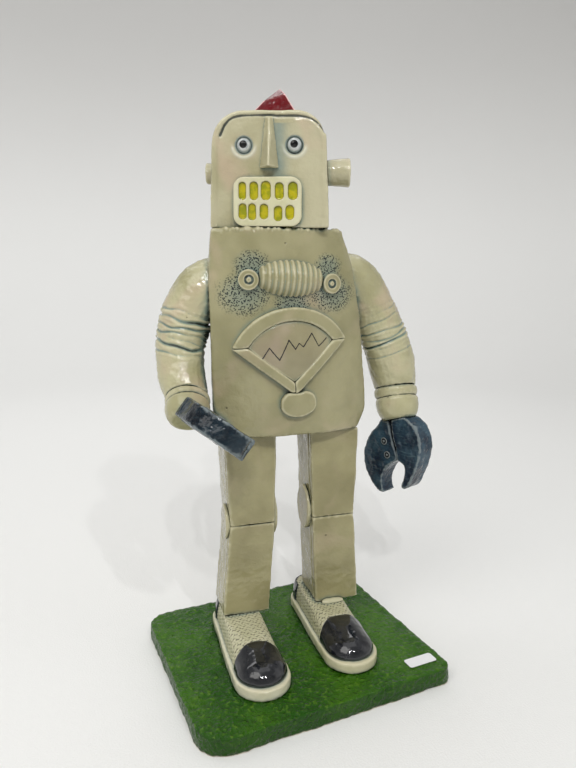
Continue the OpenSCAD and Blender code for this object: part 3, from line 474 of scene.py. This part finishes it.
# ---- The torso --------------------------------------------------------------------------------
# A box of slabs. The front slab is bowed and hangs past the sides a little. The sides, back, top
# and bottom make the shell behind it. The joins to the front are left open as fine dark lines,
# and a row of slip beads runs along the front slab's top edge.
grille_middle = np.array([.0005, 0, .239])
# Where the speckles were blown on: across and up from the grille's middle, and how far.
blown = [(-.028, -.007, .017), (-.024, .009, .012), (.025, -.007, .016), (.022, .009, .010),
         (0, -.012, .013)]


def chest(mix, colour):
    """Blue-black speckles blown on round the grille before glazing."""
    near = mix.mark("stipple")
    fleck = 1 - mix.ramp(mix.dots(960) + .4 * mix.cloud(700) - .2, .34, .50)
    thick = mix.ramp(near + .5 * mix.cloud(140, 2) - .25, .10, .55)
    colour = mix.blend(colour, (.11, .21, .22), mix.ramp(near, .10, .9) * .40)
    return mix.blend(colour, (.014, .022, .024), fleck * thick)


torso_thin, torso_thick = (.350, .325, .185), (.262, .245, .128)
torso_glaze = cream("torso_glaze", torso_thin, torso_thick, blushing=.35, pooling=.8)
front_glaze = cream("front_glaze", torso_thin, torso_thick, blushing=.35, pooling=.8, finish=chest)
front = clay("torso_front_slab", ["torso_front"], .0008, 48, .0013, .0004)
flat = within(figure, skin(front)[0]) - grille_middle
stipple = np.zeros(len(flat))
for across, up, reach in blown:
    away = np.hypot(flat[:, 0] - across, (flat[:, 2] - up) * 1.2)
    stipple = np.maximum(stipple, 1.15 - away / reach)
on_the_face = flat[:, 1] < .015
mark(front, "stipple", np.where(on_the_face, np.clip(stipple, 0, 1), 0))
# The beads sit that far apart and under the edge, each a little off its place and size.
bead_count, bead_step, bead_depth, bead_h = 23, .0033, .0012, .0011
first_bead, beads = -.037, np.zeros(len(flat))
from_bead_row = flat[:, 2] - flat[:, 2].max() + bead_depth
for number in range(bead_count):
    across = first_bead + bead_step * number + .0011 * math.sin(2.7 * number)
    bead_r = .0012 + .0004 * math.sin(5.1 * number)
    away = (flat[:, 0] - across) ** 2 + from_bead_row ** 2
    beads = np.maximum(beads, np.exp(-away / bead_r ** 2))
press(front, lambda points, normals: bead_h * beads * (normals[:, 1] < .3))
set_on(front, front_glaze, "torso_glaze", "torso_front")
shell_nodes = ["torso_back", "torso_right_side", "torso_left_side", "torso_top", "torso_bottom"]
shell = clay("torso_shell", shell_nodes, .0011, 9, .0012, .0004)
set_on(shell, torso_glaze, "torso_glaze", *shell_nodes)

# ---- The chest grille -------------------------------------------------------------------------
# A fat ribbed barrel rolled over a comb, between two round pads that are stamped with a ring.
barrel = clay("grille_barrel_roll", ["grille_barrel"], .00045, 3, .0002, .0001)
set_on(barrel, torso_glaze, "torso_glaze", "grille_barrel")


def ring_stamped(mix, colour):
    """Dark glaze left in the stamped ring."""
    return mix.blend(colour, (.030, .040, .034), mix.mark("ring") * .9)


boss_glaze = cream("boss_glaze", torso_thin, torso_thick, blushing=.35, finish=ring_stamped)
stamp_r, stamp_line, stamp_depth = .0021, .0005, .0007
for side in sides:
    boss = clay(f"grille_{side}_boss_pad", [f"grille_{side}_boss"], .0004, 6, .0002, .0001)
    low, high = (np.array(corner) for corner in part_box(f"grille_{side}_boss"))
    middle = within(figure, ((low + high) / 2)[None])[0]
    flat = within(figure, skin(boss)[0]) - middle
    in_front = flat[:, 1] < 0
    ring = np.exp(-((np.hypot(flat[:, 0], flat[:, 2]) - stamp_r) / stamp_line) ** 2) * in_front
    press(boss, lambda points, normals: -ring * stamp_depth)
    mark(boss, "ring", ring)
    set_on(boss, boss_glaze, "torso_glaze", f"grille_{side}_boss")

# ---- The dial ---------------------------------------------------------------------------------
# A pad pressed on the chest, framed by an arched strip above and two straight strips that meet
# in a V over a rounded knob. A jagged trace is drawn on the pad with an oxide pencil.
# How often each is rubbed round, and what is added to its skin to make up for it.
dial_strips = {"dial_arch": 44, "dial_right_bar": 34, "dial_left_bar": 34, "dial_knob": 30}
strip_swell = .0001
for node, rubs in dial_strips.items():
    piece = clay(node + "_strip", [node], .0005, rubs, .0004, .0003)
    press(piece, lambda points, normals: np.full(len(points), strip_swell))
    set_on(piece, torso_glaze, "torso_glaze", node)


def near_line(flat, line):
    """How far each point lies from a bent line, seen from the front."""
    away = np.full(len(flat), 1.0)
    for start, end in zip(line, line[1:]):
        start, end = np.array(start), np.array(end)
        along = end - start
        from_start = flat[:, [0, 2]] - start
        share = np.clip(from_start @ along / (along @ along), 0, 1)
        away = np.minimum(away, np.hypot(*(from_start - share[:, None] * along).T))
    return away


def pencilled(mix, colour):
    """The pencil's line, a little ragged at its edges."""
    ragged = mix.mark("from_trace") + .00030 * mix.cloud(900) - .00015
    line = 1 - mix.ramp(ragged, .00022, .00042)
    return mix.blend(colour, (.010, .008, .010), line)


# The trace runs over the pad from the figure's right to its left, in metres from the grille's
# middle, across and up.
trace = [(-.0193, -.045), (-.0148, -.0376), (-.0091, -.0448), (-.0036, -.0333), (0, -.0387),
         (.0024, -.0352), (.0049, -.0374), (.0104, -.0296), (.0148, -.0374), (.0204, -.0328)]
pad_bulge = .0030
dial_glaze = cream("dial_glaze", (.345, .315, .190), (.250, .222, .130),
                   blush=(.41, .315, .26), finish=pencilled)
pad = clay("dial_pad_clay", ["dial_pad"], .0004, 10, .0004, .0002)
flat = within(figure, skin(pad)[0]) - grille_middle
middle, half = (flat.max(0) + flat.min(0)) / 2, (flat.max(0) - flat.min(0)) / 2
dome = np.clip(1 - (((flat - middle) / half)[:, [0, 2]] ** 2).sum(1), 0, 1)
press(pad, lambda points, normals: pad_bulge * dome * (normals[:, 1] < -.5))
mark(pad, "from_trace", near_line(flat, trace))
set_on(pad, dial_glaze, "torso_glaze", "dial_pad")

# ---- The arms ---------------------------------------------------------------------------------
# Each arm is a fat bent coil that was squeezed at the elbow, so the skin there is gathered in
# rings of wrinkles. A band and a rounded cap close it at the wrist.
# Each fold's height above the table at the elbow, its depth and its width, in mm.
folds = {"right": [(223, .6, .9), (218.4, 1.4, 1.1), (213.8, .8, .8), (209.7, .9, .8),
                   (206.2, .5, .7), (202.7, 1.0, 1.0), (198, .6, .9)],
         "left": [(225, .35, .8), (221.2, .35, .8), (214.8, .5, .8), (207.1, 1.2, .9),
                  (202.6, .6, .8), (198.7, 1.2, .9), (195, .4, .7), (190.2, .4, .7)]}
# Where each elbow is across the figure, how far behind its front, and how the folds tilt there.
elbows = {"right": -.067, "left": .066}
elbow_back = .027
fold_tilts = {"right": -.24, "left": .38}


def folded(mix, colour):
    """Glaze run blue-green into the wrinkles, with a dark line in the deepest."""
    fold = mix.mark("fold")
    run_in = mix.ramp(fold * (.5 + mix.cloud(90)), .12, .60)
    deepest = mix.ramp(fold * (.55 + .9 * mix.cloud(160)), .55, .95)
    colour = mix.blend(colour, (.16, .24, .21), run_in * .75)
    return mix.blend(colour, (.020, .022, .016), deepest * .9)


arm_glaze = cream("arm_glaze", (.48, .455, .285), (.345, .325, .180), reach=.008, finish=folded)
for side in sides:
    arm = clay(f"{side}_arm_coil", [f"{side}_arm"], .0006, 8, .0014, .0009)
    flat = within(figure, skin(arm)[0])
    around_arm = np.arctan2(flat[:, 1] - elbow_back, flat[:, 0] - elbows[side] * .88)
    level = (flat[:, 2] - fold_tilts[side] * (flat[:, 0] - elbows[side])) * 1000
    fold, swell = np.zeros(len(flat)), np.zeros(len(flat))
    for number, (height, depth, width) in enumerate(folds[side]):
        wander = (.8 * np.sin(2.3 * around_arm + 1.7 * number)
                  + .45 * np.sin(6 * around_arm + 2.6 * number))
        away = level - height - wander
        faint = .65 + .35 * np.sin(1.5 * around_arm + 2.1 * number)
        fold = np.maximum(fold, depth * faint * np.exp(-(away / width) ** 2))
        swell = swell + .3 * depth * np.exp(-((np.abs(away) - 1.9 * width) / width) ** 2)
    press(arm, lambda points, normals: (swell - fold) / 1000)
    mark(arm, "fold", fold)
    set_on(arm, arm_glaze, "arm_glaze", f"{side}_arm")
    for part in ("cuff_band", "wrist_cap"):
        piece = clay(f"{side}_{part}_clay", [f"{side}_{part}"], .0006, 7, .0005, .0004)
        mark(piece, "fold", np.zeros(len(piece.data.vertices)))
        set_on(piece, arm_glaze, "arm_glaze", f"{side}_{part}")

# ---- The claws --------------------------------------------------------------------------------
# Each hand is a wrench-like claw of two thick jaws with a dark joint between them. The outer jaw
# carries two ring-stamped rivets. Slate-blue glaze, brushed on, with blue-green in the thin spots.


def slate(name, depth, finish=None):
    """Blue slate glaze, brushed on: near black where thick, teal grey where the brush left it thin,
    and paler along the edges. Depth scales it as a whole, as painted light and shade: over 1 for a
    claw in the light, under 1 for a claw in shade."""
    mix = Recipe(name)
    strokes = mix.cloud(70, 3, .6, 1.5, stretch=(1.2, 1.2, 6))
    thick, thin, stroke = (tuple(depth * part for part in tone) for tone in (
        (.006, .012, .024), (.026, .054, .078), (.060, .100, .115)))
    colour = mix.blend(thick, thin, mix.ramp(mix.cloud(60, 4, .6), .36, .66))
    colour = mix.blend(colour, stroke, mix.ramp(strokes, .50, .74) * .5)
    edge = mix.mark("sharpness") * (.4 + mix.cloud(120))
    colour = mix.blend(colour, (.190, .225, .235), mix.ramp(edge, .14, .6) * .8)
    colour = mix.blend(colour, (.004, .006, .010), mix.ramp(mix.crease(.004), .30, .8))
    if finish:
        colour = finish(mix, colour)
    return mix.fire(colour, .05 + .06 * mix.cloud(140),
                    mix.relief(mix.cloud(220, 3), .0012, .7), shine=.35)


# Painted light and shade: the left claw's glaze is made paler, as it lies in the light, and the
# right claw's darker, as shade.
claw_light_and_shade, jaw_rubs = {"right": .45, "left": 1.35}, {"right": 36, "left": 16}
for side in sides:
    slate_glaze = slate(f"{side}_slate_glaze", claw_light_and_shade[side])
    for jaw in ("plain", "riveted"):
        name = f"{side}_claw_{jaw}_jaw"
        piece = clay(name + "_clay", [name], .0006, jaw_rubs[side], .0008, .0007)
        set_on(piece, slate_glaze, "slate_glaze", name)


def rivet_stamped(mix, colour):
    """Pale grey on the rivet's middle and rim, and near black in the ring between them."""
    worn, dark = (.20, .22, .22), (.004, .005, .008)
    from_middle = mix.mark("from_middle")
    colour = mix.blend(colour, worn, mix.ramp(from_middle, .0019, .0022))
    colour = mix.blend(worn, colour, mix.ramp(from_middle, .0007, .0010))
    return mix.blend(colour, dark,
                     mix.ramp(from_middle, .0008, .0011) - mix.ramp(from_middle, .0018, .0021))


# The four pellets are one piece, so each is taken in turn: all that lies within its width.
rivet_w, rivet_ring_r, rivet_ring_line, rivet_ring_depth = .0065, .0014, .0005, .0004
rivets = clay("claw_rivet_pellets", ["claw_rivets"], .0003, 3, .0001, 0)
points = skin(rivets)[0]
from_middle = np.zeros(len(points))
left_over = np.ones(len(points), bool)
while left_over.any():
    first = points[np.argmax(left_over)]
    pellet = left_over & (np.linalg.norm(points - first, axis=1) < rivet_w)
    middle = (points[pellet].max(0) + points[pellet].min(0)) / 2
    from_middle[pellet] = np.linalg.norm(points[pellet] - middle, axis=1)
    left_over &= ~pellet
mark(rivets, "from_middle", from_middle)
ring = np.exp(-((from_middle - rivet_ring_r) / rivet_ring_line) ** 2)
press(rivets, lambda points, normals: -rivet_ring_depth * ring)
set_on(rivets, slate("rivet_glaze", 1, rivet_stamped), "slate_glaze", "claw_rivets")

# ---- The head ---------------------------------------------------------------------------------
# A face slab set just inside a wide band that is bent over the top and down both sides, with a
# plain slab behind. The head is turned to the figure's right and luted to the torso.
# The head turns on its neck, which stands that far behind the face.
neck_back, head_turn = .023, math.radians(-19)
head_place = (figure @ Matrix.Translation((-.004, neck_back, .2695))
              @ Matrix.Rotation(head_turn, 4, "Z") @ Matrix.Translation((-.0004, -neck_back, 0)))
eye_spots = {"right": (-.01425, .045), "left": (.01425, .045)}
# The brow's seam runs level above the eyes, a little higher on the right, and bends down at each
# end, sooner on the left.
brow_depth, brow_w = .0009, .0008
brow_middle, brow_half, brow_steps = .0019, .0293, 12
brow_ups, brow_drops = {"right": .0606, "left": .0602}, {"right": .0102, "left": .0083}
brow_bends = {"right": 7.7, "left": 5.2}
brow_line = []
for step in range(-brow_steps, brow_steps + 1):
    side, share = sides[step > 0], step / brow_steps
    brow_line.append((brow_middle + brow_half * share,
                      brow_ups[side] - brow_drops[side] * abs(share) ** brow_bends[side]))
socket_r, socket_soft, rim_r, rim_w, rim_h = .0058, .0012, .0066, .0010, .0005


def carved(mix, colour):
    """A raised rim under each eye painted pale as a highlight, grey-blue painted shade in the
    sockets and beside the nose, and the brow's seam in a dark line."""
    # Painted highlight: the raised rim under each eye is made pale.
    colour = mix.blend(colour, (.60, .60, .50), mix.mark("rim") * .7)
    # Painted shade: grey-blue in the eye sockets.
    colour = mix.blend(colour, (.28, .33, .31), mix.ramp(mix.mark("socket"), .2, .8) * .9)
    # Painted shade on the nose's shaded side.
    colour = mix.blend(colour, (.20, .27, .25), mix.mark("nose_shade") * (.3 + mix.cloud(120)) * .8)
    seam = mix.ramp(mix.mark("brow") * (.6 + .8 * mix.cloud(140)), .35, .8)
    return mix.blend(colour, (.035, .038, .030), seam * .9)


head_thin, head_thick = (.475, .445, .30), (.36, .335, .20)
head_glaze = cream("head_glaze", head_thin, head_thick, blushing=.75)
face_glaze = cream("face_glaze", head_thin, head_thick, blushing=.6, reach=.0035, finish=carved)
face_nodes = ["head_face", "head_top", "head_right_side", "head_left_side"]
face = clay("head_face_and_band", face_nodes, .0007, 14, .0009, .0004)
flat = within(head_place, skin(face)[0])
front_share = np.clip((.006 - flat[:, 1]) / .004, 0, 1)
brow = np.exp(-(near_line(flat, brow_line) / brow_w) ** 2) * front_share
socket, rim = np.zeros(len(flat)), np.zeros(len(flat))
for across, up in eye_spots.values():
    away = np.hypot(flat[:, 0] - across, flat[:, 2] - up)
    socket = np.maximum(socket, np.clip((socket_r - away) / socket_soft, 0, 1) * front_share)
    under = np.clip((up - flat[:, 2]) / .004 + .3, 0, 1)
    rim = np.maximum(rim, np.exp(-((away - rim_r) / rim_w) ** 2) * under * front_share)
# Painted shade beside the nose, on its left, from the teeth up to the brow.
shade_across, shade_w, shade_low, shade_high = .0052, .0045, .026, .057
nose_shade = (np.exp(-((flat[:, 0] - shade_across) / shade_w) ** 2) * front_share
             * (flat[:, 2] > shade_low) * (flat[:, 2] < shade_high))
press(face, lambda points, normals: rim_h * rim - brow_depth * brow)
for name, values in (("brow", brow), ("socket", socket), ("rim", rim), ("nose_shade", nose_shade)):
    mark(face, name, values)
set_on(face, face_glaze, "head_glaze", *face_nodes)
back = clay("head_back_slab", ["head_back"], .0009, 6, .0007, .0003)
set_on(back, head_glaze, "head_glaze", "head_back")
nose = clay("nose_ridge", ["nose"], .0004, 22, .0004, .0003)
set_on(nose, head_glaze, "head_glaze", "nose")
for side in sides:
    ear = clay(f"{side}_ear_stub", [f"{side}_ear"], .0005, 22, .0006, .0004)
    set_on(ear, head_glaze, "head_glaze", f"{side}_ear")

# ---- The eyes ---------------------------------------------------------------------------------
# Round clay beads pushed into the sockets, grey-white glaze, with a black pupil painted on and
# painted shade round each bead's edge.
pupil_r, edge_shade_r = .0020, .0032
look = (head_place.to_3x3() @ Vector((-.10, -1, .10))).normalized()
eye_mix = Recipe("eye_glaze")
from_pupil = eye_mix.mark("from_pupil")
white = eye_mix.blend((.40, .43, .44), (.62, .64, .63), eye_mix.ramp(eye_mix.cloud(300), .4, .6))
# Painted shade: a grey ring round the white, at the bead's edge.
white = eye_mix.blend(white, (.28, .33, .32), eye_mix.ramp(from_pupil, edge_shade_r, edge_shade_r + .0006))
white = eye_mix.blend((.002, .002, .003), white,
                      eye_mix.ramp(from_pupil, pupil_r, pupil_r + .0003))
eye_glaze = eye_mix.fire(white, .04 + .04 * eye_mix.cloud(300),
                         eye_mix.relief(eye_mix.cloud(400), .0002, .3))
for side, (across, up) in eye_spots.items():
    eye = clay(f"{side}_eye_bead", [f"{side}_eye"], .0003, 4, 0, .0001)
    away = skin(eye)[0] - np.array(head_place @ Vector((across, 0, up)))
    ahead = away @ np.array(look)
    mark(eye, "from_pupil", np.sqrt(np.maximum((away ** 2).sum(1) - ahead ** 2, 0)))
    set_on(eye, eye_glaze, "eye_glaze", f"{side}_eye")

# ---- The teeth --------------------------------------------------------------------------------
# A thick cream plate with rounded corners, pressed with two rows of five pockets. The pockets are
# filled with a runny yellow glaze, olive in patches, with painted shade in dark olive down their
# walls and in their corners.
teeth = clay("teeth_plate", ["teeth_panel"], .0004, 7, .0004, .0002)
depth = within(head_place, skin(teeth)[0])[:, 1]
mark(teeth, "hollow", depth)
low_face = float(depth.min())


def yellow(mix, colour):
    """Yellow in the pockets, with painted shade in dark olive down their walls and in their
    corners.
    """
    deep = mix.ramp(mix.mark("hollow"), low_face + .0004, low_face + .0012)
    wall_shade = mix.ramp(mix.mark("hollow"), low_face + .0005, low_face + .0009) - mix.ramp(
        mix.mark("hollow"), low_face + .0011, low_face + .0016)
    fill = mix.blend((.46, .40, .006), (.28, .29, .005), mix.ramp(mix.cloud(260), .4, .6))
    # Painted shade: dark olive in the pockets' corners and down their walls.
    fill = mix.blend(fill, (.13, .13, .008), mix.ramp(mix.crease(.0022), .22, .60) * .9)
    fill = mix.blend(fill, (.10, .10, .008), wall_shade * (.5 + mix.cloud(200)) * .9)
    return mix.blend(colour, fill, deep)


teeth_glaze = cream("teeth_glaze", (.605, .588, .403), (.521, .504, .302),
                    blushing=.1, pooling=.2, reach=.003, finish=yellow)
set_on(teeth, teeth_glaze, "teeth_glaze", "teeth_panel")

# ---- The hat ----------------------------------------------------------------------------------
# A small chipped pyramid stuck on the crown, under crimson glaze that is pale pink along the edges:
# partly glaze run thin there, partly a painted highlight on the ridges.
red = Recipe("red_glaze")
crimson = red.blend((.08, 0, .002), (.17, .001, .006), red.cloud(120))
# Partly painted highlight: the sharp ridges are made near white pink.
edge = red.ramp(red.mark("sharpness") * (.7 + .6 * red.cloud(150)), .55, 1.1)
crimson = red.blend(crimson, (.85, .50, .50), edge * .95)
hat = clay("hat_pyramid", ["hat"], .0004, 3, .0003, .0002)
red_glaze = red.fire(crimson, .07 + .08 * red.cloud(200),
                     red.relief(red.cloud(260), .0003, .4), shine=.3)
set_on(hat, red_glaze, "red_glaze", "hat")
